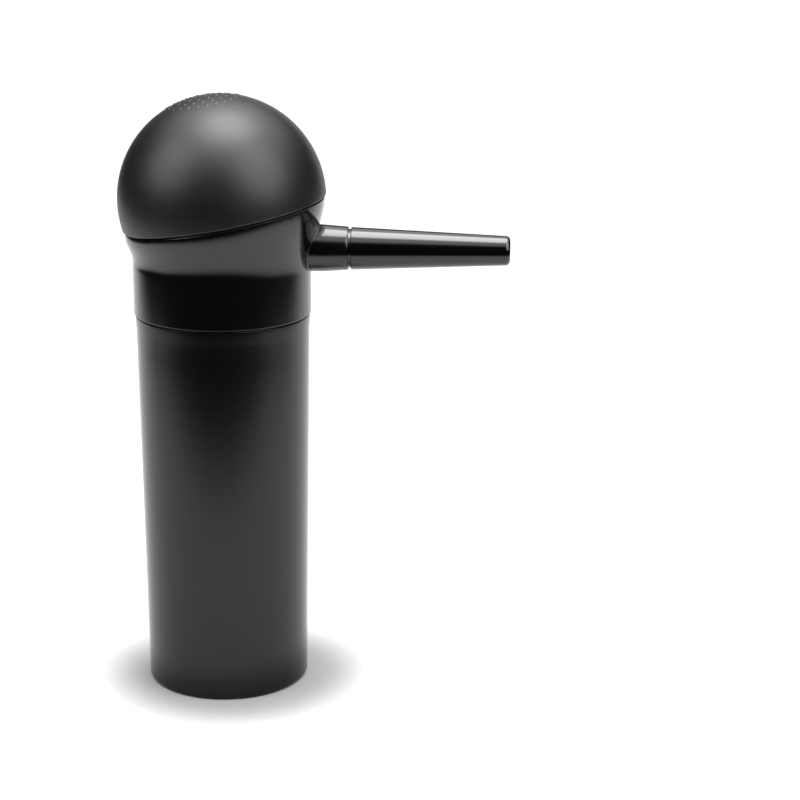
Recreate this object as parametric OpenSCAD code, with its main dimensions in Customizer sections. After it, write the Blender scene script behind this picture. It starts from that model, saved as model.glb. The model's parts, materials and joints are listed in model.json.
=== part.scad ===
// Powder spray applicator: a rubber squeeze bulb and a pump head with a long nozzle, on a screw-neck bottle.
// Millimetres. The origin is the centre of the bottle's base, +Z is up and +X runs along the nozzle.

/* [Bottle] */
// Outside radius of the bottle at its base
bottle_base_r = 19.7; // [19:0.1:20.5]
// Outside radius of the bottle at its shoulder
bottle_top_r = 20.95; // [20.7:0.05:21.15]
// Height of the shoulder above the base
shoulder_z = 92.4; // [85:0.5:100]
// Wall thickness of the bottle
bottle_wall = 1.3; // [1:0.1:1.8]
// Depth of the recess under the base
base_recess = 1.2; // [0.6:0.1:2]

/* [Neck and thread] */
// Outside radius of the neck
neck_r = 16; // [15.8:0.1:16.1]
// Radius of the neck's mouth
mouth_r = 14.4; // [13.5:0.1:14.6]
// Height of the neck above the shoulder
neck_h = 9.4; // [9.2:0.1:9.6]
// Rise of the thread in one turn
thread_pitch = 4; // [3.8:0.1:4.4]

/* [Head] */
// Outside radius of the head's straight skirt
skirt_r = 21.25; // [21.1:0.05:21.6]
// Gap between the bottle's shoulder and the head's skirt
seam_gap = 0.35; // [0.2:0.05:0.5]
// Outside radius of the head's tilted rim
rim_r = 24.05; // [23.5:0.05:24.4]

/* [Bulb] */
// Outside radius of the bulb
bulb_r = 24.7; // [24:0.1:26]
// Wall thickness of the bulb
bulb_wall = 1.6; // [1.2:0.1:2]
// Height of the bulb's centre above the skirt's lower edge
bulb_rise = 27.25; // [26.5:0.25:28]
// Tilt of the bulb, away from the nozzle
bulb_tilt = 10.5; // [8:0.5:12]

/* [Nozzle] */
// Height of the nozzle's axis above the skirt's lower edge
nozzle_rise = 15.75; // [15:0.25:16]
// Distance from the bottle's axis to the nozzle's tip
nozzle_tip_x = 68.6; // [55:0.2:80]
// Outside radius of the nozzle beside the head
nozzle_root_r = 5.1; // [4.8:0.1:5.2]
// Outside radius of the nozzle at its tip
nozzle_tip_r = 3.55; // [3.4:0.05:4]
// Radius of the passage through the nozzle
nozzle_bore_r = 2.2; // [1.8:0.1:2.3]

/* [Hidden] */
$fn = 96;
// Amount by which a cut passes the face that it opens
over = 1;

// Bottle: the foot inside its base edge, and the crown, the last stretch of wall, which flares a little more
foot_r = 15.5;
recess_slope_w = 1;
base_edge_r = 0.9;
crown_h = 4;
crown_lift = 0.2;
shoulder_edge = 0.3;
cavity_slope_h = 1;
lip_z = shoulder_z + neck_h;

// Thread: a trapezoid ridge on the neck, and one inside the sleeve half a turn's rise below it
ridge_h = 1.1;
ridge_foot_w = 1.8;
ridge_crest_w = 0.9;
ridge_root = 0.25;
ridge_steps = 40;
ridge_ramp = 25;
ridge_end_share = 0.15;
neck_ridge_z = shoulder_z + 2.2;
neck_ridge_turn = 450;
sleeve_ridge_from = 120;
sleeve_ridge_turn = 360;
thread_gap = 0.3;

// Head
skirt_z = shoulder_z + seam_gap;
sleeve_r = 19.75;
sleeve_z = skirt_z + 0.15;
sleeve_bore_r = neck_r + ridge_h + thread_gap;
head_bore_r = 19.8;
chamber_r = 16.6;
gasket_h = 1.15;
gasket_gap = 0.2;
head_ledge_z = lip_z + gasket_h;
flare_z = skirt_z + 11.75;
flare_rings = 8;
flare_sides = 96;
flare_ease = 1.1;

// Bulb, measured along its own tilted axis from its centre
bulb_x = 0.25;
bulb_z = skirt_z + bulb_rise;
seam_w = -3.8;
bulb_edge_r = 0.6;
flange_h = 1.6;
lip_outer_r = 19.7;
lip_inner_r = 18.3;
tilt_bore_r = 19.8;
plate_top_w = -8.2;
plate_h = 1.6;
plate_gasket_h = 0.8;
plate_gasket_w = 1.9;
clamp_ring_w = 1.3;
ledge_w = plate_top_w - plate_h - plate_gasket_h;
ledge_cut = 0.1;
dome_split_r = 19;
split_gap = 0.4;
grip_dot_r = 0.5;
grip_dot_h = 0.25;
grip_dot_root = 1;
grip_ring_step = 2;
grip_centre = 0.3;
grip_rings = 4;
grip_first_count = 6;

// Inlet valve, on the deck towards the back of the head
inlet_u = -10.5;
port_r = 2.2;
inlet_disc_r = 3.6;
inlet_cage_r = 5.2;
inlet_cage_bore_r = 4;
inlet_cage_h = 2.8;
disc_h = 0.8;
cage_roof_h = 0.8;
cage_hole_r = 0.75;
cage_hole_ring_r = 2.3;
cage_holes = 6;

// Outlet valve and air tube, on the bottle's axis
stub_r = 6;
stub_z = skirt_z + 11.4;
seat_z = skirt_z + 15.8;
outlet_bore_r = 4.6;
outlet_cage_r = 4.55;
outlet_cage_wall = 1;
outlet_disc_r = 4;
outlet_rib_w = 1.1;
outlet_rib_h = 1;
outlet_rib_z = skirt_z + 13.8;
spigot_r = 3.4;
spigot_bore_r = 2.3;
spigot_z = skirt_z + 4.8;
flange_z = skirt_z + 10.8;
tube_bore_r = 3.42;
tube_r = 4.2;
tube_end_z = 34;
tip_end_z = 25;
tip_plug_h = 5;
tip_nose_r = 2;
tip_floor = 2;
tip_hole_r = 1;
tip_holes = 4;
tip_hole_turn = 45;

// Spout boss on the head, and the nozzle that plugs into it, measured from the bottle's axis
nozzle_z = skirt_z + nozzle_rise;
boss_end_x = 30.3;
boss_core_r = 6.25;
boss_root_r = 5.65;
boss_end_r = 5.2;
boss_chamfer = 0.25;
plug_bore_r = 3.8;
plug_bore_from_x = 13.6;
plug_r = 3.75;
plug_lead = 0.3;
plug_from_x = 20.3;
nozzle_collar_r = 4.65;
nozzle_collar_w = 0.6;
nozzle_root_edge = 0.2;
tip_edge_r = 1.1;
o_ring_x = 23.5;
o_ring_r = 0.38;
o_ring_gap = 0.02;
o_ring_groove_w = 1.1;
o_ring_groove_depth = 0.8;

// Points on an arc about (cx, cy), from angle a to angle b
function arc(cx, cy, r, a, b, steps = 6) =
    [for (i = [0:steps]) [cx + r * cos(a + (b - a) * i / steps), cy + r * sin(a + (b - a) * i / steps)]];

// Moves its children into the bulb's frame, with their +Z along the bulb's axis
module on_bulb_axis() {
    translate([bulb_x, 0, bulb_z])
        rotate([0, -bulb_tilt, 0])
            children();
}

// Moves its children into the nozzle's frame, with their +Z along +X of the part
module on_nozzle_axis() {
    translate([0, 0, nozzle_z])
        rotate([0, 90, 0])
            children();
}

// A tube between two heights
module ring(outer_r, inner_r, from, to) {
    difference() {
        translate([0, 0, from])
            cylinder(r = outer_r, h = to - from);
        translate([0, 0, from - over])
            cylinder(r = inner_r, h = to - from + 2 * over);
    }
}

// A trapezoid ridge that climbs a right-handed helix from angle a0 through the given turn, thin at its ends
module thread_ridge(root_r, crest_r, a0, turn, z0) {
    outward = crest_r > root_r;
    count = ceil(ridge_steps * turn / 360);
    grip = outward ? -ridge_root : ridge_root;
    half_foot = ridge_foot_w / 2;
    half_crest = ridge_crest_w / 2;
    sections = [for (i = [0:count])
        let (a = turn * i / count, k = min(1, ridge_end_share + min(a, turn - a) / ridge_ramp),
             crest = root_r + k * (crest_r - root_r), z = z0 + thread_pitch * (a0 + a) / 360)
        [for (p = [[root_r + grip, -half_foot], [crest, -half_crest], [crest, half_crest],
                   [root_r + grip, half_foot]])
            [p[0] * cos(a0 + a), p[0] * sin(a0 + a), z + p[1]]]];
    points = [for (s = sections) for (p = s) p];
    sides = [for (i = [0:count - 1]) for (j = [0:3])
        let (k = (j + 1) % 4, a = 4 * i + j, b = 4 * i + k, c = 4 * i + 4 + k, d = 4 * i + 4 + j)
        each outward ? [[a, b, c], [a, c, d]] : [[c, b, a], [d, c, a]]];
    last = 4 * count;
    ends = outward
        ? [[2, 1, 0], [3, 2, 0], [last, last + 1, last + 2], [last, last + 2, last + 3]]
        : [[0, 1, 2], [0, 2, 3], [last + 2, last + 1, last], [last + 3, last + 2, last]];
    polyhedron(points = points, faces = concat(sides, ends), convexity = 4);
}

module bottle_outline() {
    difference() {
        polygon(concat(
            [[0, 0]],
            arc(bottle_base_r - base_edge_r, base_edge_r, base_edge_r, -90, 0),
            [[bottle_top_r - crown_lift, shoulder_z - crown_h],
             [bottle_top_r, shoulder_z - shoulder_edge],
             [bottle_top_r - shoulder_edge, shoulder_z],
             [neck_r, shoulder_z],
             [neck_r, lip_z],
             [0, lip_z]]));
        polygon([[0, base_recess + bottle_wall],
                 [bottle_base_r - bottle_wall - base_edge_r, base_recess + bottle_wall],
                 [bottle_base_r - bottle_wall, base_recess + bottle_wall + base_edge_r],
                 [bottle_top_r - crown_lift - bottle_wall, shoulder_z - crown_h],
                 [bottle_top_r - crown_lift - bottle_wall, shoulder_z - bottle_wall - cavity_slope_h],
                 [mouth_r, shoulder_z - bottle_wall],
                 [mouth_r, lip_z + over],
                 [0, lip_z + over]]);
        polygon([[0, -over],
                 [foot_r, -over],
                 [foot_r, 0],
                 [foot_r - recess_slope_w, base_recess],
                 [0, base_recess]]);
    }
}

module bottle() {
    color([0.05, 0.05, 0.055]) {
        rotate_extrude()
            bottle_outline();
        thread_ridge(neck_r, neck_r + ridge_h, 0, neck_ridge_turn, neck_ridge_z);
    }
}

module neck_gasket() {
    color([0.85, 0.85, 0.82])
        ring(sleeve_bore_r - gasket_gap, mouth_r, lip_z, head_ledge_z);
}

// Share of the flare's extra radius at share s of its height: it starts late and ends parallel to the rim
function flare_share(s) = let (e = pow(s, flare_ease)) e * e * (3 - 2 * e);

// The head's outside: a straight skirt, then a loft from a level circle to the tilted rim
module skirt_and_flare() {
    rim = [bulb_x - seam_w * sin(bulb_tilt), 0, bulb_z + seam_w * cos(bulb_tilt)];
    skirt_ring = [for (j = [0:flare_sides - 1])
        let (a = 360 * j / flare_sides)
        [skirt_r * cos(a), skirt_r * sin(a), skirt_z]];
    flare_points = [for (i = [0:flare_rings]) for (j = [0:flare_sides - 1])
        let (s = i / flare_rings, t = bulb_tilt * s, a = 360 * j / flare_sides,
             r = skirt_r + (rim_r - skirt_r) * flare_share(s),
             c = [rim[0] * s, 0, flare_z + (rim[2] - flare_z) * s])
        c + r * [cos(a) * cos(t), sin(a), cos(a) * sin(t)]];
    sides = [for (i = [0:flare_rings]) for (j = [0:flare_sides - 1])
        let (k = (j + 1) % flare_sides, a = flare_sides * i + j, b = flare_sides * i + k)
        each [[a, a + flare_sides, b], [b, a + flare_sides, b + flare_sides]]];
    floor_face = [for (j = [0:flare_sides - 1]) j];
    top_face = [for (j = [flare_sides - 1:-1:0]) flare_sides * (flare_rings + 1) + j];
    polyhedron(points = concat(skirt_ring, flare_points), faces = concat(sides, [floor_face, top_face]),
               convexity = 2);
}

module boss() {
    on_nozzle_axis()
        rotate_extrude()
            polygon([[0, 0],
                     [boss_core_r, 0],
                     [boss_root_r, skirt_r],
                     [boss_end_r, boss_end_x - boss_chamfer],
                     [boss_end_r - boss_chamfer, boss_end_x],
                     [0, boss_end_x]]);
}

module head_shell() {
    color([0.04, 0.04, 0.045])
        difference() {
            union() {
                skirt_and_flare();
                boss();
            }
            translate([0, 0, skirt_z - over])
                cylinder(r = head_bore_r, h = head_ledge_z - skirt_z + over);
            intersection() {
                translate([0, 0, head_ledge_z - over])
                    cylinder(r = chamber_r, h = bulb_z - head_ledge_z);
                on_bulb_axis()
                    translate([0, 0, ledge_w - 2 * chamber_r])
                        cylinder(r = 2 * chamber_r, h = 2 * chamber_r + ledge_cut);
            }
            on_bulb_axis()
                translate([0, 0, ledge_w])
                    cylinder(r = tilt_bore_r, h = seam_w - ledge_w + over);
            on_nozzle_axis()
                translate([0, 0, plug_bore_from_x])
                    cylinder(r = plug_bore_r, h = boss_end_x);
        }
}

module threaded_sleeve() {
    color([0.12, 0.12, 0.13]) {
        ring(sleeve_r, sleeve_bore_r, sleeve_z, head_ledge_z);
        thread_ridge(sleeve_bore_r, neck_r + thread_gap, sleeve_ridge_from, sleeve_ridge_turn,
                     neck_ridge_z - thread_pitch / 2);
    }
}

// The deck between the bulb and the powder chamber, with the outlet valve's stub under it
module valve_plate() {
    color([0.8, 0.8, 0.78])
        difference() {
            union() {
                on_bulb_axis()
                    translate([0, 0, plate_top_w - plate_h])
                        cylinder(r = lip_outer_r, h = plate_h);
                intersection() {
                    translate([0, 0, stub_z])
                        cylinder(r = stub_r, h = bulb_z - stub_z);
                    on_bulb_axis()
                        translate([0, 0, plate_top_w - 4 * stub_r])
                            cylinder(r = 4 * stub_r, h = 4 * stub_r);
                }
            }
            translate([0, 0, stub_z - over])
                cylinder(r = port_r, h = bulb_z - stub_z);
            translate([0, 0, stub_z - over])
                cylinder(r = outlet_bore_r, h = seat_z - stub_z + over);
            on_bulb_axis()
                translate([inlet_u, 0, plate_top_w - plate_h - over])
                    cylinder(r = port_r, h = plate_h + 2 * over);
        }
}

module plate_gasket() {
    color([0.1, 0.1, 0.1])
        on_bulb_axis()
            ring(lip_outer_r, lip_outer_r - plate_gasket_w, ledge_w, ledge_w + plate_gasket_h);
}

// A disc with its lower edge rounded, as wide as the bulb where it meets the head's rim
module rounded_foot() {
    foot = sqrt(pow(bulb_r, 2) - pow(seam_w, 2));
    rotate_extrude()
        polygon(concat(
            [[0, seam_w]],
            arc(foot - bulb_edge_r, seam_w + bulb_edge_r, bulb_edge_r, -90, 0),
            [[foot + 2 * over, seam_w + 4 * over],
             [foot + 2 * over, bulb_r + over],
             [0, bulb_r + over]]));
}

// The rubber bulb's side wall, its seat on the head's rim, and the lip that is held inside the head
module bulb_skirt() {
    color([0.03, 0.03, 0.03])
        on_bulb_axis()
            difference() {
                union() {
                    intersection() {
                        sphere(r = bulb_r);
                        rounded_foot();
                    }
                    ring(lip_outer_r, lip_inner_r, plate_top_w, seam_w + over);
                }
                intersection() {
                    sphere(r = bulb_r - bulb_wall);
                    translate([0, 0, seam_w + flange_h])
                        cylinder(r = 2 * bulb_r, h = 2 * bulb_r);
                }
                translate([0, 0, plate_top_w - over])
                    cylinder(r = lip_inner_r, h = -plate_top_w + 2 * over);
                cylinder(r = dome_split_r + split_gap, h = 2 * bulb_r);
            }
}

// Low round studs in rings about the crown's smooth centre
module grip_dots() {
    for (i = [1:grip_rings])
        for (j = [0:grip_first_count * i - 1])
            rotate([0, asin(grip_ring_step * (i + grip_centre) / bulb_r), 360 * j / (grip_first_count * i)])
                translate([0, 0, bulb_r - grip_dot_root])
                    cylinder(r = grip_dot_r, h = grip_dot_root + grip_dot_h);
}

// The part of the bulb that the thumb pushes in, cut free of the side wall so that it can travel
module bulb_dome() {
    color([0.03, 0.03, 0.03])
        on_bulb_axis() {
            intersection() {
                difference() {
                    sphere(r = bulb_r);
                    sphere(r = bulb_r - bulb_wall);
                }
                cylinder(r = dome_split_r, h = 2 * bulb_r);
            }
            grip_dots();
        }
}

module bulb_clamp_ring() {
    color([0.8, 0.8, 0.78])
        on_bulb_axis()
            ring(lip_inner_r, lip_inner_r - clamp_ring_w, plate_top_w, seam_w);
}

module inlet_valve_cage() {
    roof_w = plate_top_w + inlet_cage_h;
    color([0.85, 0.85, 0.85])
        on_bulb_axis()
            translate([inlet_u, 0, 0])
                difference() {
                    translate([0, 0, plate_top_w])
                        cylinder(r = inlet_cage_r, h = inlet_cage_h);
                    translate([0, 0, plate_top_w - over])
                        cylinder(r = inlet_cage_bore_r, h = inlet_cage_h - cage_roof_h + over);
                    for (i = [0:cage_holes - 1])
                        rotate([0, 0, 360 * i / cage_holes])
                            translate([cage_hole_ring_r, 0, roof_w - cage_roof_h - over])
                                cylinder(r = cage_hole_r, h = cage_roof_h + 2 * over);
                }
}

module inlet_valve_disc() {
    color([0.75, 0.3, 0.15])
        on_bulb_axis()
            translate([inlet_u, 0, plate_top_w])
                cylinder(r = inlet_disc_r, h = disc_h);
}

module outlet_valve_cage() {
    color([0.85, 0.85, 0.85]) {
        ring(outlet_cage_r, outlet_cage_r - outlet_cage_wall, stub_z, outlet_rib_z);
        ring(stub_r, spigot_bore_r, flange_z, stub_z);
        ring(spigot_r, spigot_bore_r, spigot_z, flange_z);
        intersection() {
            translate([0, 0, outlet_rib_z - outlet_rib_h])
                cylinder(r = outlet_cage_r, h = outlet_rib_h);
            union() {
                for (turn = [0, 90])
                    rotate([0, 0, turn])
                        translate([-stub_r, -outlet_rib_w / 2, outlet_rib_z - outlet_rib_h])
                            cube([2 * stub_r, outlet_rib_w, outlet_rib_h]);
            }
        }
    }
}

module outlet_valve_disc() {
    color([0.75, 0.3, 0.15])
        translate([0, 0, outlet_rib_z])
            cylinder(r = outlet_disc_r, h = disc_h);
}

module air_tube() {
    color([0.9, 0.9, 0.88])
        ring(tube_r, tube_bore_r, tube_end_z, flange_z);
}

// A plug in the tube's lower end, with a closed round nose and side holes that blow into the powder
module air_tube_tip() {
    color([0.8, 0.8, 0.78])
        difference() {
            union() {
                translate([0, 0, tube_end_z])
                    cylinder(r = spigot_r, h = tip_plug_h);
                rotate_extrude()
                    polygon(concat(
                        [[0, tube_end_z], [0, tip_end_z]],
                        arc(tube_r - tip_nose_r, tip_end_z + tip_nose_r, tip_nose_r, -90, 0),
                        [[tube_r, tube_end_z]]));
            }
            translate([0, 0, tip_end_z + tip_floor])
                cylinder(r = spigot_bore_r, h = tube_end_z);
            for (i = [0:tip_holes - 1])
                rotate([0, 90, 360 * i / tip_holes + tip_hole_turn])
                    translate([-(tube_end_z + tip_end_z) / 2, 0, 0])
                        cylinder(r = tip_hole_r, h = 2 * tube_r);
        }
}

module nozzle() {
    body_x = boss_end_x + nozzle_collar_w;
    color([0.02, 0.02, 0.02])
        on_nozzle_axis()
            rotate_extrude()
                difference() {
                    polygon(concat(
                        [[nozzle_bore_r, plug_from_x],
                         [plug_r - plug_lead, plug_from_x],
                         [plug_r, plug_from_x + plug_lead],
                         [plug_r, boss_end_x],
                         [nozzle_collar_r, boss_end_x],
                         [nozzle_collar_r, body_x],
                         [nozzle_root_r - nozzle_root_edge, body_x],
                         [nozzle_root_r, body_x + nozzle_root_edge]],
                        arc(nozzle_tip_r - tip_edge_r, nozzle_tip_x - tip_edge_r, tip_edge_r, 0, 90),
                        [[nozzle_bore_r, nozzle_tip_x]]));
                    translate([plug_r - o_ring_groove_depth, o_ring_x - o_ring_groove_w / 2])
                        square([over, o_ring_groove_w]);
                }
}

module nozzle_o_ring() {
    color([0.08, 0.08, 0.08])
        on_nozzle_axis()
            translate([0, 0, o_ring_x])
                rotate_extrude()
                    translate([plug_bore_r - o_ring_gap - o_ring_r, 0])
                        circle(r = o_ring_r);
}

bottle();
neck_gasket();
head_shell();
threaded_sleeve();
valve_plate();
plate_gasket();
bulb_skirt();
bulb_dome();
bulb_clamp_ring();
inlet_valve_cage();
inlet_valve_disc();
outlet_valve_cage();
outlet_valve_disc();
air_tube();
air_tube_tip();
nozzle();
nozzle_o_ring();
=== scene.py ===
"""Looks of the powder spray applicator: smooth visible skins over the CAD, procedural materials,
a white floor that fades out, and soft light.

Metres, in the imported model's frame: the origin is the centre of the bottle's base, +Z is up, and the
nozzle points along +X.
"""

import json
import math

import bmesh
import bpy
from mathutils import Matrix, Vector


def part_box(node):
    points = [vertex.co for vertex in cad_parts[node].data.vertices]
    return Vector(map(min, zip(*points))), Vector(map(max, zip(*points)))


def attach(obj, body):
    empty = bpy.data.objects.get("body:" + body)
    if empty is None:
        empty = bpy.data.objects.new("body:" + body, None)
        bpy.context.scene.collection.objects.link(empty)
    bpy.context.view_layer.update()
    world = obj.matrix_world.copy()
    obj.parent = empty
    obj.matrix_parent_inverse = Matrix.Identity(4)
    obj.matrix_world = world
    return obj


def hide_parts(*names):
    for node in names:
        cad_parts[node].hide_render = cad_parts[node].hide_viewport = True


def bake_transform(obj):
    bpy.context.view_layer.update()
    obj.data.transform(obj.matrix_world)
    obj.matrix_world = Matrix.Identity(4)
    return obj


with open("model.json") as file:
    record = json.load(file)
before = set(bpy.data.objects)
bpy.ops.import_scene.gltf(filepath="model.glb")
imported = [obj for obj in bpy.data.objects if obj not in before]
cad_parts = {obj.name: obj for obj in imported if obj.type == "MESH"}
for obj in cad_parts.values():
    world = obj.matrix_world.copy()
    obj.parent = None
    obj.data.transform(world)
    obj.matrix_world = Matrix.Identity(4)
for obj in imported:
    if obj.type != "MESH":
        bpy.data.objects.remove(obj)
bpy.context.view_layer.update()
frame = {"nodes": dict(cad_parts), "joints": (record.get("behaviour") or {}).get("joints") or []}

MM = 0.001
TURN = 2 * math.pi

# ---------------------------------------------------------------- sizes, from the frame and the design
_, bottle_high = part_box("bottle")
sleeve_low, sleeve_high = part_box("threaded_sleeve")
nozzle_low, nozzle_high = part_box("nozzle")
bulb_low, bulb_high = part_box("bulb_skirt")

SHOULDER_R = bottle_high.x
BASE_R = 19.7 * MM
SLEEVE_GAP = 0.5 * MM
SHOULDER_Z = sleeve_low.z - SLEEVE_GAP
LIP_Z = bottle_high.z
NECK_R = 16 * MM
MOUTH_R = 14.4 * MM
BOTTLE_WALL = 1.3 * MM
BASE_RECESS = 1.2 * MM
FOOT_R = 15.5 * MM
THREAD_PITCH = 4 * MM
THREAD_TURN = 450  # degrees

SKIRT_R = 21.25 * MM
SKIRT_H = 11.75 * MM
SEAM_GAP = 0.35 * MM
SKIRT_Z = SHOULDER_Z + SEAM_GAP
FLARE_Z = SKIRT_Z + SKIRT_H
HEAD_LEDGE_Z = sleeve_high.z
HEAD_BORE_R = 19.8 * MM
CHAMBER_R = 16.6 * MM
RIM_R = 24.05 * MM
RIM_EDGE = 0.2 * MM
SKIRT_EDGE = 0.16 * MM
FLARE_EASE = 1.1

BULB_R = (bulb_high.y - bulb_low.y) / 2
BULB_RISE = 27.25 * MM
BULB_CENTRE = Vector((bulb_low.x + BULB_R, 0, SKIRT_Z + BULB_RISE))
BULB_AXIS = -Vector(next(j for j in frame["joints"] if j["name"] == "bulb_squeeze")["axis"]).normalized()
BULB_TILT = math.atan2(-BULB_AXIS.x, BULB_AXIS.z)
BULB_WALL = 1.6 * MM
TILT_BORE_R = 19.8 * MM
LIP_OUTER_R = 19.7 * MM
LIP_INNER_R = 18.3 * MM

# heights along the bulb's axis, from the bulb's centre
SEAM_W = -3.8 * MM
LIP_W = -8.2 * MM
LEDGE_W = -10.6 * MM

NOZZLE_Z = (nozzle_low.z + nozzle_high.z) / 2
NOZZLE_ROOT_R = (nozzle_high.y - nozzle_low.y) / 2
NOZZLE_TIP_X = nozzle_high.x
NOZZLE_TIP_R = 3.55 * MM
NOZZLE_BORE_R = 2.2 * MM
PLUG_FROM_X = nozzle_low.x
PLUG_R = 3.75 * MM
PLUG_BORE_R = 3.8 * MM
BOSS_END_X = 30.3 * MM
BOSS_ROOT_R = 5.65 * MM
BOSS_END_R = 5.2 * MM
COLLAR_R = 4.65 * MM
COLLAR_W = 0.6 * MM

SMOOTH_SIDES = 192
SHARP_ANGLE = math.radians(32)
HALVINGS = 40  # steps of each search by halving


# ---------------------------------------------------------------- shape helpers
def arc(cx, cy, r, start, end, steps):
    """Points on an arc about (cx, cy), from angle start to angle end in degrees."""
    angles = [math.radians(start + (end - start) * i / steps) for i in range(steps + 1)]
    return [(cx + r * math.cos(a), cy + r * math.sin(a)) for a in angles]


def spread(a, b, steps):
    """Points on the straight line from a to b, without a."""
    return [tuple(p + (q - p) * i / steps for p, q in zip(a, b)) for i in range(1, steps + 1)]


def bulb_frame():
    """Matrix from the bulb's own frame, with +Z on its axis, to the part's frame."""
    return Matrix.Translation(BULB_CENTRE) @ Matrix.Rotation(-BULB_TILT, 4, "Y")


def nozzle_frame():
    """Matrix from the nozzle's own frame, with +Z along the nozzle, to the part's frame."""
    return Matrix.Translation((0, 0, NOZZLE_Z)) @ Matrix.Rotation(math.pi / 2, 4, "Y")


class Shape:
    """Vertices and faces of one piece while it is being built."""

    def __init__(self):
        self.verts = []
        self.faces = []

    def ring(self, points):
        """Adds a ring of points and returns its vertex numbers."""
        first = len(self.verts)
        self.verts += [Vector(p) for p in points]
        return list(range(first, len(self.verts)))

    def bridge(self, a, b):
        """Joins two rings of equal length with quads."""
        n = len(a)
        self.faces += [(a[i], a[(i + 1) % n], b[(i + 1) % n], b[i]) for i in range(n)]

    def stack(self, rings, half_window, window_rows):
        """Joins a stack of rings with quads, leaving a window open about the first column."""
        sides = len(rings[0])
        for row, (a, b) in enumerate(zip(rings, rings[1:])):
            across = window_rows[0] <= row < window_rows[1]
            for i in range(sides):
                if not (across and (i + half_window) % sides < 2 * half_window):
                    self.faces.append((a[i], a[(i + 1) % sides], b[(i + 1) % sides], b[i]))

    def revolve(self, profile, matrix=None, sides=SMOOTH_SIDES, closed=False):
        """Turns a profile of (radius, height) points about Z. Points at radius 0 become one vertex."""
        matrix = matrix or Matrix.Identity(4)
        rings = []
        for r, z in profile:
            count = 1 if r == 0 else sides
            angles = [TURN * i / sides for i in range(count)]
            rings.append(self.ring(matrix @ Vector((r * math.cos(a), r * math.sin(a), z)) for a in angles))
        pairs = list(zip(rings, rings[1:])) + ([(rings[-1], rings[0])] if closed else [])
        for a, b in pairs:
            if len(a) == 1:
                self.faces += [(a[0], b[(i + 1) % sides], b[i]) for i in range(sides)]
            elif len(b) == 1:
                self.faces += [(a[i], a[(i + 1) % sides], b[0]) for i in range(sides)]
            else:
                self.bridge(a, b)

    def build(self, name, material, nodes, body=None):
        """Makes the Blender object, outward-facing and smooth, in place of its CAD nodes."""
        mesh = bpy.data.meshes.new(name)
        mesh.from_pydata(self.verts, [], self.faces)
        mesh.validate()
        edit = bmesh.new()
        edit.from_mesh(mesh)
        bmesh.ops.recalc_face_normals(edit, faces=edit.faces)
        edit.to_mesh(mesh)
        edit.free()
        obj = bpy.data.objects.new(name, mesh)
        bpy.context.scene.collection.objects.link(obj)
        mesh.polygons.foreach_set("use_smooth", [True] * len(mesh.polygons))
        mesh.set_sharp_from_angle(angle=SHARP_ANGLE)
        mesh.materials.append(material)
        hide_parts(*nodes)
        if body:
            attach(obj, body)
        return obj


# ---------------------------------------------------------------- material helpers
CLOUD_SCALE = 55.0
WAVE_SCALE = 90.0


def add_node(tree, kind, inputs=None, **settings):
    """Adds a shader node, sets its options and its inputs, and returns it."""
    node = tree.nodes.new(kind)
    for key, value in settings.items():
        setattr(node, key, value)
    for key, value in (inputs or {}).items():
        if isinstance(value, bpy.types.NodeSocket):
            tree.links.new(value, node.inputs[key])
        else:
            node.inputs[key].default_value = value
    return node


def span(tree, value, low, high):
    """Maps a 0 to 1 value to the range from low to high."""
    return add_node(tree, "ShaderNodeMapRange", {"Value": value, "To Min": low, "To Max": high}).outputs[0]


def mix_colour(tree, factor, a, b):
    """Mixes two colours, each a socket or an (r, g, b) value."""
    node = tree.nodes.new("ShaderNodeMix")
    node.data_type = "RGBA"
    tree.links.new(factor, node.inputs["Factor"])
    for key, value in (("A", a), ("B", b)):
        socket = next(s for s in node.inputs if s.name == key and s.type == "RGBA")
        if isinstance(value, bpy.types.NodeSocket):
            tree.links.new(value, socket)
        else:
            socket.default_value = (*value, 1)
    return next(s for s in node.outputs if s.type == "RGBA")


def noise(tree, coords, scale, detail):
    """Soft noise from 0 to 1."""
    inputs = {"Vector": coords, "Scale": scale, "Detail": detail}
    return add_node(tree, "ShaderNodeTexNoise", inputs).outputs[0]


def specks(tree, coords, scale, size, share):
    """A 0 or 1 mask of scattered dust specks: one in each cell of the given share of cells."""
    cells = add_node(tree, "ShaderNodeTexVoronoi", {"Vector": coords, "Scale": scale, "Randomness": 1.0})
    near = add_node(tree, "ShaderNodeMath", {0: cells.outputs["Distance"], 1: size}, operation="LESS_THAN")
    pick = add_node(tree, "ShaderNodeSeparateColor", {"Color": cells.outputs["Color"]})
    chosen = add_node(tree, "ShaderNodeMath", {0: pick.outputs[0], 1: share}, operation="LESS_THAN")
    both = {0: near.outputs[0], 1: chosen.outputs[0]}
    return add_node(tree, "ShaderNodeMath", both, operation="MULTIPLY").outputs[0]


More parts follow.
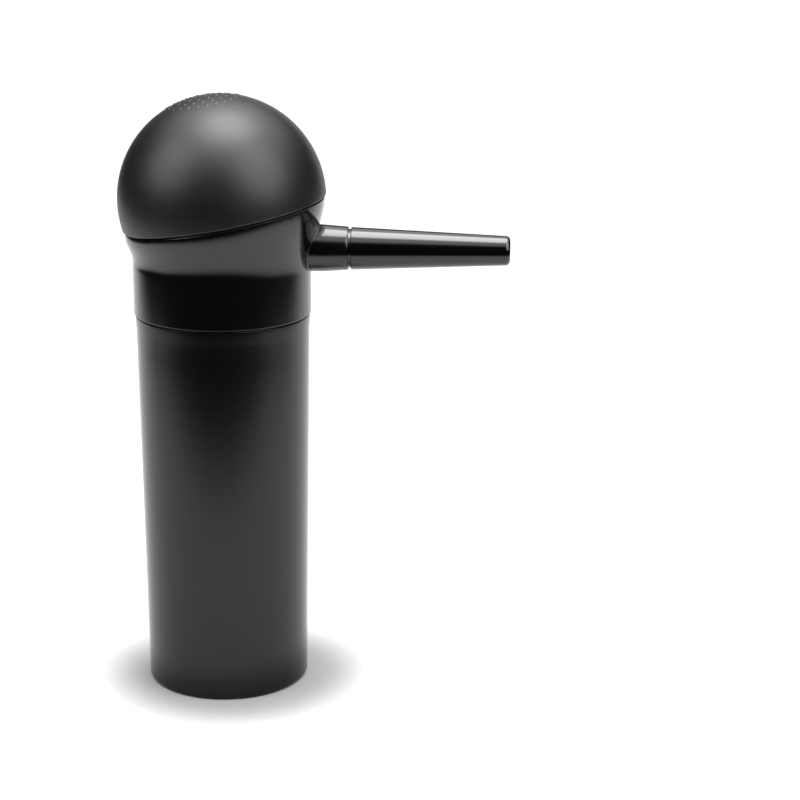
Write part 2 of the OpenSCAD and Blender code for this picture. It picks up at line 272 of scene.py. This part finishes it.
def moulded(name, dark, light, rough, grain_scale, grain_depth, speck=None, wave_depth=0.0, **constants):
    """A moulded plastic or rubber: colour and roughness vary softly, with fine grain, faint waves and dust.

    Scales are per metre and depths are in metres. Other constants go straight to the shader's inputs.
    """
    material = bpy.data.materials.new(name)
    material.use_nodes = True
    tree = material.node_tree
    shader = tree.nodes["Principled BSDF"]
    coords = add_node(tree, "ShaderNodeTexCoord").outputs["Object"]
    cloud = noise(tree, coords, CLOUD_SCALE, detail=4.0)
    fine = noise(tree, coords, grain_scale, detail=3.0)
    colour = mix_colour(tree, cloud, dark, light)
    if speck:
        mask = specks(tree, coords, speck["scale"], speck["size"], speck["share"])
        colour = mix_colour(tree, mask, colour, speck["colour"])
    tree.links.new(colour, shader.inputs["Base Color"])
    blend_rough = add_node(tree, "ShaderNodeMath", {0: cloud, 1: fine}, operation="MULTIPLY").outputs[0]
    tree.links.new(span(tree, blend_rough, rough[0], rough[1]), shader.inputs["Roughness"])
    grain = add_node(tree, "ShaderNodeBump", {"Height": fine, "Strength": 1.0, "Distance": grain_depth})
    if wave_depth:
        wave = noise(tree, coords, WAVE_SCALE, detail=1.0)
        low = {"Height": wave, "Strength": 1.0, "Distance": wave_depth, "Normal": grain.outputs[0]}
        grain = add_node(tree, "ShaderNodeBump", low)
    tree.links.new(grain.outputs[0], shader.inputs["Normal"])
    for key, value in constants.items():
        shader.inputs[key.replace("_", " ")].default_value = value
    return material


# ---------------------------------------------------------------- materials
def bulb_rubber():
    return moulded("bulb_rubber", dark=(0.0014, 0.0014, 0.00145), light=(0.0023, 0.0022, 0.0022),
                   rough=(0.4, 0.48), grain_scale=5200, grain_depth=0.012 * MM,
                   speck={"scale": 240.0, "size": 0.045, "share": 0.05, "colour": (0.2, 0.19, 0.17)},
                   Specular_IOR_Level=0.4)


def head_plastic():
    return moulded("head_plastic", dark=(0.0009, 0.0009, 0.00095), light=(0.0014, 0.0014, 0.0015),
                   rough=(0.13, 0.21), grain_scale=2600, grain_depth=0.002 * MM, wave_depth=0.006 * MM,
                   speck={"scale": 260.0, "size": 0.035, "share": 0.03, "colour": (0.18, 0.18, 0.17)})


def bottle_plastic():
    return moulded("bottle_plastic", dark=(0.0012, 0.0013, 0.0015), light=(0.0018, 0.0019, 0.0022),
                   rough=(0.16, 0.22), grain_scale=3600, grain_depth=0.005 * MM, wave_depth=0.008 * MM,
                   speck={"scale": 230.0, "size": 0.03, "share": 0.025, "colour": (0.16, 0.16, 0.16)},
                   Specular_IOR_Level=0.34)


def nozzle_plastic():
    return moulded("nozzle_plastic", dark=(0.0009, 0.0009, 0.00095), light=(0.0013, 0.0013, 0.0014),
                   rough=(0.08, 0.15), grain_scale=2400, grain_depth=0.001 * MM, wave_depth=0.003 * MM)


def dark_plastic():
    return moulded("inner_plastic_dark", dark=(0.02, 0.02, 0.022), light=(0.04, 0.04, 0.042),
                   rough=(0.4, 0.6), grain_scale=3000, grain_depth=0.01 * MM)


def pale_plastic():
    return moulded("inner_plastic_pale", dark=(0.6, 0.6, 0.57), light=(0.78, 0.78, 0.75),
                   rough=(0.35, 0.55), grain_scale=2500, grain_depth=0.01 * MM, Subsurface_Weight=0.15)


def tube_plastic():
    return moulded("tube_plastic", dark=(0.68, 0.68, 0.64), light=(0.82, 0.82, 0.78),
                   rough=(0.25, 0.4), grain_scale=1800, grain_depth=0.008 * MM, Subsurface_Weight=0.25)


def foam():
    return moulded("foam_gasket", dark=(0.62, 0.62, 0.59), light=(0.85, 0.85, 0.82),
                   rough=(0.75, 0.95), grain_scale=2200, grain_depth=0.06 * MM)


def seal_rubber():
    return moulded("seal_rubber", dark=(0.012, 0.012, 0.012), light=(0.025, 0.025, 0.025),
                   rough=(0.35, 0.5), grain_scale=3000, grain_depth=0.008 * MM)


def silicone():
    return moulded("valve_silicone", dark=(0.5, 0.13, 0.05), light=(0.65, 0.2, 0.08),
                   rough=(0.3, 0.45), grain_scale=2000, grain_depth=0.008 * MM, Subsurface_Weight=0.3)


# ---------------------------------------------------------------- bottle
def thread_ridge(shape):
    """The trapezoid ridge that climbs the neck, thinning at both ends."""
    steps = 120
    height = 1.1 * MM
    half_foot = 0.9 * MM
    half_crest = 0.45 * MM
    sunk = 0.2 * MM
    start_z = SHOULDER_Z + 2.2 * MM
    end_share = 0.15
    ramp = 25  # degrees
    rings = []
    for i in range(steps + 1):
        turned = THREAD_TURN * i / steps
        a = math.radians(turned)
        rise = min(1, end_share + turned / ramp, end_share + (THREAD_TURN - turned) / ramp) * height
        z = start_z + THREAD_PITCH * turned / 360
        section = [(NECK_R - sunk, -half_foot), (NECK_R + rise, -half_crest),
                   (NECK_R + rise, half_crest), (NECK_R - sunk, half_foot)]
        rings.append(shape.ring((r * math.cos(a), r * math.sin(a), z + dz) for r, dz in section))
    for a, b in zip(rings, rings[1:]):
        shape.bridge(a, b)
    shape.faces += [tuple(reversed(rings[0])), tuple(rings[-1])]


def make_bottle(material):
    """The bottle from the recess under its base, up the outside, over the lip and down the inside."""
    recess_edge = 0.6 * MM
    recess_edge_in = 1.3 * MM
    recess_flat_in = 2 * MM
    foot_edge_in = 0.5 * MM
    foot_edge_rise = 0.15 * MM
    neck_fillet = 0.4 * MM
    lip_edge = 0.3 * MM
    mouth_edge = 0.2 * MM
    inside_fall = 1 * MM
    edge = 0.9 * MM
    edge_support = 0.3 * MM
    crown_h = 4 * MM
    crown_lift = 0.2 * MM
    top_edge = 0.08 * MM
    inner = SHOULDER_R - BOTTLE_WALL
    floor_z = BASE_RECESS + BOTTLE_WALL
    crown_z = SHOULDER_Z - crown_h
    under_crown_r = SHOULDER_R - crown_lift
    shape = Shape()
    shape.revolve(
        [(0, BASE_RECESS), (FOOT_R - recess_flat_in, BASE_RECESS)]
        + arc(FOOT_R - recess_edge_in, BASE_RECESS - recess_edge, recess_edge, 90, 0, 4)
        + [(FOOT_R - foot_edge_in, foot_edge_rise), (FOOT_R, 0)]
        + arc(BASE_R - edge, edge, edge, -90, 0, 8)
        + [(BASE_R, edge + edge_support)]
        + spread((BASE_R, edge + edge_support), (under_crown_r, crown_z), 24)
        + spread((under_crown_r, crown_z), (SHOULDER_R, SHOULDER_Z - 3 * top_edge), 4)
        + [(SHOULDER_R, SHOULDER_Z - top_edge)]
        + arc(SHOULDER_R - top_edge, SHOULDER_Z - top_edge, top_edge, 0, 90, 4)[1:]
        + [(NECK_R + neck_fillet, SHOULDER_Z), (NECK_R, SHOULDER_Z + neck_fillet)]
        + [(NECK_R, LIP_Z - lip_edge)]
        + arc(NECK_R - lip_edge, LIP_Z - lip_edge, lip_edge, 0, 90, 4)[1:]
        + [(MOUTH_R + mouth_edge, LIP_Z), (MOUTH_R, LIP_Z - mouth_edge)]
        + [(MOUTH_R, SHOULDER_Z - BOTTLE_WALL), (inner, SHOULDER_Z - BOTTLE_WALL - inside_fall)]
        + [(BASE_R - BOTTLE_WALL, floor_z + edge), (BASE_R - BOTTLE_WALL - edge, floor_z), (0, floor_z)])
    thread_ridge(shape)
    return shape.build("bottle_skin", material, ["bottle"], "bottle")


# ---------------------------------------------------------------- bulb
def grip_dots(shape):
    """Low, soft bumps in rings about the crown's smooth centre."""
    dot_r = 0.85 * MM
    dot_h = 0.21 * MM
    sunk = 0.05 * MM
    foot_depth = 0.2 * MM
    falloff = 5
    ring_step = 2 * MM
    ring_offset = 0.3
    rings = 4
    first_count = 6
    sides = 18
    steps = 7
    matrix = bulb_frame()
    bump = [(dot_r * i / steps, dot_h * math.exp(-falloff * (i / steps) ** 2) - sunk)
            for i in range(steps + 1)]
    for i in range(1, rings + 1):
        tip = math.asin(ring_step * (i + ring_offset) / BULB_R)
        for j in range(first_count * i):
            turn = TURN * j / (first_count * i)
            place = Matrix.Rotation(turn, 4, "Z") @ Matrix.Rotation(tip, 4, "Y")
            place = matrix @ place @ Matrix.Translation((0, 0, BULB_R))
            shape.revolve(bump + [(0, -foot_depth)], place, sides)


def make_bulb(material):
    """One continuous rubber skin: crown, side wall, rounded lower edge and the lip inside the head."""
    edge = 0.45 * MM
    edge_from = -8  # degrees, where the rounded edge leaves the sphere
    gap = 0.28 * MM
    gap_depth = 2.2 * MM
    seat_gap = 0.01 * MM
    lip_edge = 0.3 * MM
    foot_r = math.sqrt(BULB_R**2 - SEAM_W**2)
    seam_angle = math.degrees(math.asin((SEAM_W + gap + edge) / BULB_R))
    inner_r = BULB_R - BULB_WALL
    floor_w = SEAM_W + BULB_WALL
    inner_angle = math.degrees(math.asin(floor_w / inner_r))
    outside = [(0, BULB_R)] + arc(0, 0, BULB_R, 90, seam_angle, 96)[1:]
    foot = arc(foot_r - edge, SEAM_W + gap + edge, edge, edge_from, -90, 8)
    lip = [(foot_r - gap_depth, SEAM_W + gap), (foot_r - gap_depth - gap, SEAM_W + seat_gap),
           (LIP_OUTER_R + lip_edge, SEAM_W + seat_gap), (LIP_OUTER_R, SEAM_W - lip_edge),
           (LIP_OUTER_R, LIP_W), (LIP_INNER_R, LIP_W), (LIP_INNER_R, floor_w)]
    inside = arc(0, 0, inner_r, inner_angle, 90, 72)[:-1] + [(0, inner_r)]
    shape = Shape()
    shape.revolve(outside + foot + lip + inside, bulb_frame())
    grip_dots(shape)
    obj = shape.build("bulb_skin", material, ["bulb_skirt", "bulb_dome"])
    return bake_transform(obj)


# ---------------------------------------------------------------- head
def flare_section(t):
    """Centre, tilt and radius of the head's outside at t.

    t is below 0 on the straight skirt and 1 at the tilted rim. The flare's extra radius starts late, and the
    flare ends parallel to the bulb's axis.
    """
    if t < 0:
        return Vector((0, 0, FLARE_Z + t * (FLARE_Z - SKIRT_Z))), 0.0, SKIRT_R
    rim = BULB_CENTRE + BULB_AXIS * SEAM_W
    centre = Vector((0, 0, FLARE_Z)).lerp(rim, t)
    eased = min(1, t) ** FLARE_EASE
    return centre, BULB_TILT * t, SKIRT_R + (RIM_R - SKIRT_R) * eased * eased * (3 - 2 * eased)


def head_point(angle, t):
    """A point of the head's outside."""
    centre, tilt, r = flare_section(t)
    across = Vector((math.cos(tilt), 0, math.sin(tilt)))
    return centre + r * (math.cos(angle) * across + math.sin(angle) * Vector((0, 1, 0)))


def head_coordinates(point):
    """The angle and t of the section through a point, and how far outside the head the point is."""
    low, high = -1.0, 1.2
    for _ in range(HALVINGS):
        t = (low + high) / 2
        centre, tilt, _ = flare_section(t)
        above = (point - centre).dot(Vector((-math.sin(tilt), 0, math.cos(tilt)))) > 0
        low, high = (t, high) if above else (low, t)
    centre, tilt, r = flare_section(t)
    offset = point - centre
    across = Vector((math.cos(tilt), 0, math.sin(tilt)))
    return math.atan2(offset.y, offset.dot(across)), t, math.hypot(offset.y, offset.dot(across)) - r


def boss_hit(psi, r):
    """Where a line along +X, at radius r and angle psi about the boss's axis, meets the head's outside."""
    near, far = 10 * MM, 30 * MM
    for _ in range(HALVINGS):
        x = (near + far) / 2
        point = Vector((x, r * math.sin(psi), NOZZLE_Z + r * math.cos(psi)))
        angle, t, outside = head_coordinates(point)
        near, far = (near, x) if outside > 0 else (x, far)
    return point, angle, t


def window_places(half_window, rows):
    """Grid places (column, row) round a window's edge, from its lower left corner."""
    low, high = rows
    return ([(c, low) for c in range(-half_window, half_window)]
            + [(half_window, r) for r in range(low, high)]
            + [(c, high) for c in range(half_window, -half_window, -1)]
            + [(-half_window, r) for r in range(high, low, -1)])


def chamber_point(angle, v):
    """A point of the wall round the space under the valve deck, from v = 0 at its foot to 1 at the ledge."""
    foot = BULB_CENTRE + BULB_AXIS * LEDGE_W
    x = CHAMBER_R * math.cos(angle)
    top = foot.z + (x - foot.x) * math.tan(BULB_TILT)
    return Vector((x, CHAMBER_R * math.sin(angle), HEAD_LEDGE_Z + (top - HEAD_LEDGE_Z) * v))


def between(places, targets, u):
    """Grid coordinates at share u of the way from each place to its target."""
    return [(a + (b - a) * u, v + (w - v) * u) for (a, v), (b, w) in zip(places, targets)]


def boss_rings(outer_places, inner_places):
    """Rings of points from the head's outside, over a small fillet, along the boss and back through its bore
    to the chamber's wall.
    """
    fillet = 0.3 * MM
    fillet_support = 0.3 * MM
    chamfer = 0.25 * MM
    shallow_in, shallow_back = 0.07 * MM, 0.08 * MM  # where the chamfer's shallow first facet starts
    bore_edge = 0.2 * MM
    mouth_r = 3.1 * MM
    bore_end_x = 21 * MM
    skin_steps, fillet_steps, side_steps, mouth_steps = 8, 5, 6, 4
    edge_points = [head_point(angle, t) for angle, t in outer_places]
    psis = [math.atan2(p.y, p.z - NOZZLE_Z) for p in edge_points]
    feet = [boss_hit(psi, BOSS_ROOT_R + fillet) for psi in psis]
    roots = [boss_hit(psi, BOSS_ROOT_R)[0] for psi in psis]
    targets = [(angle, t) for _, angle, t in feet]
    rings = [[head_point(a, t) for a, t in between(outer_places, targets, i / skin_steps)]
             for i in range(1, skin_steps + 1)]
    for i in range(1, fillet_steps + 1):
        u = i / fillet_steps
        rings.append([foot * (1 - u) ** 2 + root * 2 * u * (1 - u) + (root + Vector((fillet, 0, 0))) * u**2
                      for (foot, _, _), root in zip(feet, roots)])
    base_x = max(p.x for p in roots) + fillet + fillet_support
    side = [(BOSS_ROOT_R, base_x)]
    side += spread((BOSS_ROOT_R, base_x), (BOSS_END_R, BOSS_END_X - chamfer), side_steps)
    side += [(BOSS_END_R - shallow_in, BOSS_END_X - shallow_back), (BOSS_END_R - chamfer, BOSS_END_X),
             (PLUG_BORE_R + bore_edge, BOSS_END_X), (PLUG_BORE_R, BOSS_END_X - bore_edge),
             (PLUG_BORE_R, bore_end_x)]
    for r, x in side:
        rings.append([Vector((x, r * math.sin(psi), NOZZLE_Z + r * math.cos(psi))) for psi in psis])
    mouth = []
    for psi in psis:
        angle = math.asin(mouth_r * math.sin(psi) / CHAMBER_R)
        rise = NOZZLE_Z + mouth_r * math.cos(psi) - HEAD_LEDGE_Z
        mouth.append((angle, rise / (chamber_point(angle, 1).z - HEAD_LEDGE_Z)))
    for i in range(mouth_steps):
        rings.append([chamber_point(a, v) for a, v in between(mouth, inner_places, i / mouth_steps)])
    return rings


def make_head(material):
    """Skirt, flare and rim outside, the bores inside, and the spout boss that joins the two."""
    sides = SMOOTH_SIDES
    skirt_rows, flare_rows, chamber_rows = 14, 26, 25
    half_window = 14
    boss_window = (10, 33)
    mouth_window = (1, 24)
    support = 0.012  # from a rounded edge to the row beside it, which keeps the edge crisp
    edge_from = 22  # degrees, where the small round edges meet the outside
    bore_edge = 0.3 * MM
    skirt_bore_edge = 0.2 * MM
    flare_length = (BULB_CENTRE + BULB_AXIS * SEAM_W - Vector((0, 0, FLARE_Z))).length
    lowest = SKIRT_EDGE / (FLARE_Z - SKIRT_Z) - 1
    highest = 1 - RIM_EDGE / flare_length
    levels = [lowest, lowest + support] + [lowest * (1 - i / skirt_rows) for i in range(1, skirt_rows)]
    levels += [highest * i / flare_rows for i in range(flare_rows)] + [highest - support, highest]
    angles = [TURN * i / sides for i in range(sides)]
    shape = Shape()
    outside = [shape.ring(head_point(angle, t) for angle in angles) for t in levels]
    chamber = [shape.ring(chamber_point(angle, v / chamber_rows) for angle in angles)
               for v in range(chamber_rows + 1)]
    shape.stack(outside, half_window, boss_window)
    shape.stack(chamber, half_window, mouth_window)

    # the boss, from the window in the outside to the window in the chamber's wall
    outer = window_places(half_window, boss_window)
    inner = window_places(half_window, mouth_window)
    outer_places = [(TURN * c / sides, levels[r]) for c, r in outer]
    inner_places = [(TURN * c / sides, r / chamber_rows) for c, r in inner]
    previous = [outside[r][c % sides] for c, r in outer]
    for points in boss_rings(outer_places, inner_places):
        ring = shape.ring(points)
        shape.bridge(previous, ring)
        previous = ring
    shape.bridge(previous, [chamber[r][c % sides] for c, r in inner])

    # the rim: a small round edge, the seat under the bulb, and the tilted bore down to the ledge
    seat = (arc(RIM_R - RIM_EDGE, SEAM_W - RIM_EDGE, RIM_EDGE, edge_from, 90, 4)
            + [(TILT_BORE_R + bore_edge, SEAM_W), (TILT_BORE_R, SEAM_W - bore_edge), (TILT_BORE_R, LEDGE_W)])
    tilted = bulb_frame()
    previous = outside[-1]
    for r, w in seat:
        ring = shape.ring(tilted @ Vector((r * math.cos(a), r * math.sin(a), w)) for a in angles)
        shape.bridge(previous, ring)
        previous = ring
    shape.bridge(previous, chamber[-1])

    # the ledge on the gasket, the bore round the sleeve, and the skirt's lower edge
    inside = [(HEAD_BORE_R, HEAD_LEDGE_Z), (HEAD_BORE_R, SKIRT_Z + bore_edge),
              (HEAD_BORE_R + skirt_bore_edge, SKIRT_Z)]
    inside += arc(SKIRT_R - SKIRT_EDGE, SKIRT_Z + SKIRT_EDGE, SKIRT_EDGE, -90, -edge_from, 4)
    previous = chamber[0]
    for r, z in inside:
        ring = shape.ring(Vector((r * math.cos(a), r * math.sin(a), z)) for a in angles)
        shape.bridge(previous, ring)
        previous = ring
    shape.bridge(previous, outside[0])
    return shape.build("head_skin", material, ["head_shell"], "head")


# ---------------------------------------------------------------- nozzle
def make_nozzle(material):
    """The nozzle from its plug, over the seal's groove and the thin collar, to the rounded tip and back."""
    plug_edge = 0.3 * MM
    bore_edge_r, bore_edge_x = 0.05 * MM, 0.1 * MM
    tip_support = 0.1 * MM
    groove_depth = 0.75 * MM
    body_x = BOSS_END_X + COLLAR_W
    root_edge = 0.2 * MM
    tip_edge = 1.1 * MM
    groove_x = 23.5 * MM
    groove_w = 1.3 * MM
    groove_r = PLUG_R - groove_depth
    profile = [(NOZZLE_BORE_R, PLUG_FROM_X), (PLUG_R - plug_edge, PLUG_FROM_X),
               (PLUG_R, PLUG_FROM_X + plug_edge),
               (PLUG_R, groove_x - groove_w / 2), (groove_r, groove_x - groove_w / 2),
               (groove_r, groove_x + groove_w / 2), (PLUG_R, groove_x + groove_w / 2),
               (PLUG_R, BOSS_END_X), (COLLAR_R, BOSS_END_X), (COLLAR_R, body_x)]
    profile += arc(NOZZLE_ROOT_R - root_edge, body_x + root_edge, root_edge, -90, 0, 4)
    tip_start = (NOZZLE_TIP_R, NOZZLE_TIP_X - tip_edge)
    body_start = (NOZZLE_ROOT_R, body_x + 1.5 * root_edge)
    profile += [body_start] + spread(body_start, tip_start, 24)[:-1]
    profile += [(NOZZLE_TIP_R, tip_start[1] - tip_support)]
    profile += arc(NOZZLE_TIP_R - tip_edge, NOZZLE_TIP_X - tip_edge, tip_edge, 0, 90, 10)
    profile += [(NOZZLE_BORE_R + bore_edge_r, NOZZLE_TIP_X), (NOZZLE_BORE_R, NOZZLE_TIP_X - bore_edge_x)]
    shape = Shape()
    shape.revolve(profile, nozzle_frame(), 128, closed=True)
    return shape.build("nozzle_skin", material, ["nozzle"], "nozzle")


# ---------------------------------------------------------------- pieces that keep their CAD shape
def finish_node(name, material):
    """Gives a CAD piece its material."""
    obj = frame["nodes"][name]
    obj.data.materials.clear()
    obj.data.materials.append(material)


# ---------------------------------------------------------------- stage, light and camera
def smooth_step(tree, value, low, high, amount):
    """A level that goes smoothly from 0 at low to amount at high."""
    settings = {"Value": value, "From Min": low, "From Max": high, "To Min": 0.0, "To Max": amount}
    return add_node(tree, "ShaderNodeMapRange", settings, interpolation_type="SMOOTHSTEP").outputs[0]


def make_stage():
    """A floor that fades out to the plain background at an ellipse, with a painted contact shadow: its
    colour is darker in a round near the base.
    """
    reach = 0.6
    back = 2.2
    drop = -0.02 * MM
    # painted contact shadow: the floor's colour goes darker about this centre, just off the bottle's base
    painted_shadow_centre = (2.5 * MM, -2 * MM, 0.0)
    painted_shadow_fade = 20 * MM
    painted_shadow_grey, floor_grey = (0.19, 0.19, 0.19), (0.41, 0.41, 0.411)
    pool_half_width, pool_depth = 0.29, 0.165
    pool_widening = 0.4
    full_until, gone_from = 0.75, 1.55  # shares of the pool's size
    mesh = bpy.data.meshes.new("floor")
    corners = [(-reach, -reach, drop), (reach, -reach, drop), (reach, back, drop), (-reach, back, drop)]
    mesh.from_pydata(corners, [], [(0, 1, 2, 3)])
    floor = bpy.data.objects.new("floor", mesh)
    bpy.context.scene.collection.objects.link(floor)
    material = bpy.data.materials.new("floor_white")
    material.use_nodes = True
    tree = material.node_tree
    shader = tree.nodes["Principled BSDF"]
    position = add_node(tree, "ShaderNodeNewGeometry").outputs["Position"]
    # the painted contact shadow is mixed into the floor's colour here, by distance from its centre
    shadow = {0: position, 1: painted_shadow_centre}
    away = add_node(tree, "ShaderNodeVectorMath", shadow, operation="DISTANCE").outputs["Value"]
    outward = smooth_step(tree, away, BASE_R, BASE_R + painted_shadow_fade, 1.0)
    tree.links.new(mix_colour(tree, outward, painted_shadow_grey, floor_grey), shader.inputs["Base Color"])
    shader.inputs["Roughness"].default_value = 0.9
    shader.inputs["Specular IOR Level"].default_value = 0.1
    place = add_node(tree, "ShaderNodeSeparateXYZ", {"Vector": position})
    aside = add_node(tree, "ShaderNodeMath", {0: place.outputs[0]}, operation="ABSOLUTE").outputs[0]
    behind = add_node(tree, "ShaderNodeMath", {0: place.outputs[1], 1: 0.0}, operation="MAXIMUM").outputs[0]
    widening = {0: behind, 1: -pool_widening, 2: aside}
    spare = add_node(tree, "ShaderNodeMath", widening, operation="MULTIPLY_ADD").outputs[0]
    across = add_node(tree, "ShaderNodeMath", {0: spare, 1: 0.0}, operation="MAXIMUM").outputs[0]
    ahead = add_node(tree, "ShaderNodeMath", {0: place.outputs[1], 1: 0.0}, operation="MINIMUM").outputs[0]
    flat = add_node(tree, "ShaderNodeCombineXYZ", {"X": across, "Y": ahead}).outputs[0]
    scaled = {0: flat, 1: (1 / pool_half_width, 1 / pool_depth, 0.0)}
    offset = add_node(tree, "ShaderNodeVectorMath", scaled, operation="MULTIPLY").outputs[0]
    reached = add_node(tree, "ShaderNodeVectorMath", {0: offset}, operation="LENGTH").outputs["Value"]
    lit = smooth_step(tree, reached, gone_from, full_until, 1.0)
    clear = add_node(tree, "ShaderNodeBsdfTransparent")
    both = add_node(tree, "ShaderNodeMixShader", {0: lit, 1: clear.outputs[0], 2: shader.outputs[0]})
    tree.links.new(both.outputs[0], tree.nodes["Material Output"].inputs["Surface"])
    mesh.materials.append(material)


def glow(tree, direction, axis, outer, inner, level):
    """A round panel of light about an axis: dark outside the outer angle, full inside the inner one."""
    both = {0: direction, 1: Vector(axis).normalized()}
    cosine = add_node(tree, "ShaderNodeVectorMath", both, operation="DOT_PRODUCT").outputs["Value"]
    return smooth_step(tree, cosine, math.cos(math.radians(outer)), math.cos(math.radians(inner)), level)


def total(tree, *values):
    """The sum of several levels."""
    result = values[0]
    for value in values[1:]:
        result = add_node(tree, "ShaderNodeMath", {0: result, 1: value}, operation="ADD").outputs[0]
    return result


def make_light():
    """A wide panel overhead with a hot centre, a low one behind and a dark room. The camera sees white."""
    overhead = (0.08, 0.08, 1.0)
    low_behind = (0.0, 1.0, -0.3)
    room_level = 0.02
    world = bpy.data.worlds.new("studio")
    bpy.context.scene.world = world
    world.use_nodes = True
    tree = world.node_tree
    tree.nodes.clear()
    direction = add_node(tree, "ShaderNodeTexCoord").outputs["Generated"]
    wide = glow(tree, direction, overhead, outer=60, inner=36, level=2.6)
    hot = glow(tree, direction, overhead, outer=28, inner=12, level=12.0)
    backdrop = glow(tree, direction, low_behind, outer=36, inner=20, level=1.6)
    level = total(tree, wide, hot, backdrop, room_level)
    studio = add_node(tree, "ShaderNodeBackground", {"Strength": level})
    plain = add_node(tree, "ShaderNodeBackground", {"Strength": 1.0})
    plain.inputs["Color"].default_value = (1, 1, 1, 1)
    studio.inputs["Color"].default_value = (1, 1, 1, 1)
    seen = add_node(tree, "ShaderNodeLightPath").outputs["Is Camera Ray"]
    both = add_node(tree, "ShaderNodeMixShader", {0: seen, 1: studio.outputs[0], 2: plain.outputs[0]})
    out = add_node(tree, "ShaderNodeOutputWorld", {"Surface": both.outputs[0]})
    out.is_active_output = True


def make_softbox(name, place, size, power):
    """A round softbox that faces the bottle's shoulder."""
    data = bpy.data.lights.new(name, "AREA")
    data.shape = "DISK"
    data.size = size
    data.energy = power
    light = bpy.data.objects.new(name, data)
    bpy.context.scene.collection.objects.link(light)
    aim = Vector((0, 0, SHOULDER_Z)) - Vector(place)
    light.matrix_world = Matrix.Translation(place) @ aim.to_track_quat("-Z", "Y").to_matrix().to_4x4()


def make_camera():
    """A long lens, a little above the bulb and to the right of the bottle, looking down at the bottle."""
    data = bpy.data.cameras.new("camera")
    data.sensor_width = 36
    data.lens = 90.5
    data.clip_start = 0.01
    camera = bpy.data.objects.new("camera", data)
    bpy.context.scene.collection.objects.link(camera)
    place = Vector((63.8, -468.1, 205.0)) * MM
    yaw = math.radians(2.58)
    down = math.radians(15.93)
    roll = math.radians(0.4)
    ahead = Vector((-math.sin(yaw) * math.cos(down), math.cos(yaw) * math.cos(down), -math.sin(down)))
    turn = ahead.to_track_quat("-Z", "Y").to_matrix().to_4x4()
    camera.matrix_world = Matrix.Translation(place) @ turn @ Matrix.Rotation(roll, 4, "Z")
    bpy.context.scene.camera = camera


# ---------------------------------------------------------------- assembly
make_camera()
make_light()
make_softbox("softbox_left", (-0.30, -0.16, 0.35), 0.36, 1.3)
make_softbox("softbox_right", (0.29, -0.18, 0.32), 0.38, 1.7)
make_stage()
make_bottle(bottle_plastic())
make_bulb(bulb_rubber())
make_head(head_plastic())
make_nozzle(nozzle_plastic())
pale = pale_plastic()
pale_pieces = ("valve_plate", "bulb_clamp_ring", "inlet_valve_cage", "outlet_valve_cage", "air_tube_tip")
for node_name in pale_pieces:
    finish_node(node_name, pale)
valve = silicone()
for node_name in ("inlet_valve_disc", "outlet_valve_disc"):
    finish_node(node_name, valve)
seal = seal_rubber()
for node_name in ("plate_gasket", "nozzle_o_ring"):
    finish_node(node_name, seal)
finish_node("neck_gasket", foam())
finish_node("threaded_sleeve", dark_plastic())
finish_node("air_tube", tube_plastic())
bpy.context.scene.view_settings.view_transform = "Standard"
